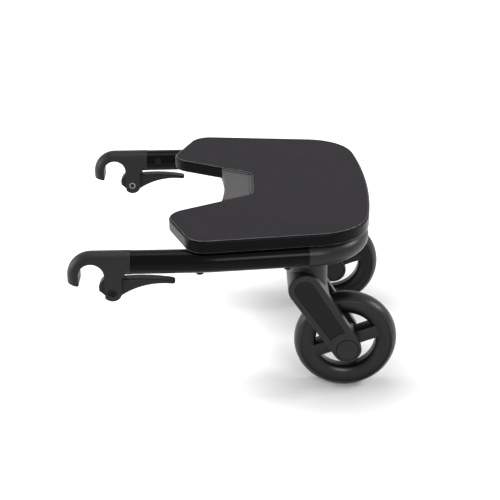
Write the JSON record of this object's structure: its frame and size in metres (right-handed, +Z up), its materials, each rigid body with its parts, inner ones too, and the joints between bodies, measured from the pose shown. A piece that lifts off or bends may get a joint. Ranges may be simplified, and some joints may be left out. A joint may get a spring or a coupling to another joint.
{
  "type": "buggy board",
  "caption": "Ride-on board for a stroller: notched deck on two side tubes, clamp hooks with latch levers in front, swivel casters behind.",
  "frame": {"origin": "centre of the board's footprint, on the floor under the wheels", "axes": "+X to the rear, from the hooks to the casters; +Y to the board's right; +Z up"},
  "size_m": [0.393, 0.358, 0.227],
  "materials": {
    "tube_paint": "satin black paint on aluminium tube",
    "chassis_plastic": "fine-grained moulding",
    "deck_plastic": "fine-grained moulding with a smooth rounded edge",
    "grip_pad": "matte, finely textured",
    "plate_plastic": "satin grey moulding",
    "black_steel": "blackened steel",
    "bright_steel": "zinc-plated steel",
    "hook_plastic": "fine-grained moulding",
    "lever_plastic": "satin moulding",
    "bush_plastic": "acetal",
    "fork_plastic": "fine-grained moulding",
    "inlay_plastic": "smooth moulding",
    "cap_plastic": "satin moulding",
    "rim_plastic": "satin moulding",
    "tyre_rubber": "foamed tyre, matte"
  },
  "bodies": {
    "frame": {"rear_chassis": "chassis_plastic", "deck_board": "deck_plastic", "deck_grip_pad": "grip_pad", "notch_plate": "plate_plastic", "deck_screws": "black_steel", "chassis_screws": "black_steel", "plate_screws": "black_steel", "left_side_tube": "tube_paint", "left_hook": "hook_plastic", "left_hook_screw": "black_steel", "left_latch_bolt": "black_steel", "left_latch_nut": "bright_steel", "left_latch_spring": "bright_steel", "left_swivel_bushes": "bush_plastic", "right_side_tube": "tube_paint", "right_hook": "hook_plastic", "right_hook_screw": "black_steel", "right_latch_bolt": "black_steel", "right_latch_nut": "bright_steel", "right_latch_spring": "bright_steel", "right_swivel_bushes": "bush_plastic"},
    "left_latch": {"left_latch_lever": "lever_plastic"},
    "right_latch": {"right_latch_lever": "lever_plastic"},
    "left_caster": {"left_fork": "fork_plastic", "left_fork_inlays": "inlay_plastic", "left_kingpin": "bright_steel", "left_kingpin_clip": "bright_steel", "left_axle": "bright_steel", "left_axle_caps": "cap_plastic", "left_wheel_washers": "bright_steel"},
    "right_caster": {"right_fork": "fork_plastic", "right_fork_inlays": "inlay_plastic", "right_kingpin": "bright_steel", "right_kingpin_clip": "bright_steel", "right_axle": "bright_steel", "right_axle_caps": "cap_plastic", "right_wheel_washers": "bright_steel"},
    "left_wheel": {"left_rim": "rim_plastic", "left_tyre": "tyre_rubber", "left_wheel_bushes": "bush_plastic"},
    "right_wheel": {"right_rim": "rim_plastic", "right_tyre": "tyre_rubber", "right_wheel_bushes": "bush_plastic"}
  },
  "joints": [
    {"name": "left_latch_pivot", "type": "hinge", "parent": "frame", "child": "left_latch", "pos_m": [-0.144, -0.165, 0.165], "axis": [0, 1, 0], "range_deg": [0, 45], "stiffness_Nm_per_rad": 0.12, "springref_deg": -34.38, "deforming": ["left_latch_spring"]},
    {"name": "right_latch_pivot", "type": "hinge", "parent": "frame", "child": "right_latch", "pos_m": [-0.144, 0.165, 0.165], "axis": [0, 1, 0], "range_deg": [0, 45], "stiffness_Nm_per_rad": 0.12, "springref_deg": -34.38, "deforming": ["right_latch_spring"]},
    {"name": "left_caster_swivel", "type": "hinge", "parent": "frame", "child": "left_caster", "pos_m": [0.087, -0.111, 0.178], "axis": [0, 0, 1], "continuous": true},
    {"name": "left_wheel_spin", "type": "hinge", "parent": "left_caster", "child": "left_wheel", "pos_m": [0.133, -0.111, 0.0635], "axis": [0, 1, 0], "continuous": true},
    {"name": "right_caster_swivel", "type": "hinge", "parent": "frame", "child": "right_caster", "pos_m": [0.087, 0.111, 0.178], "axis": [0, 0, 1], "continuous": true},
    {"name": "right_wheel_spin", "type": "hinge", "parent": "right_caster", "child": "right_wheel", "pos_m": [0.133, 0.111, 0.0635], "axis": [0, 1, 0], "continuous": true}
  ]
}
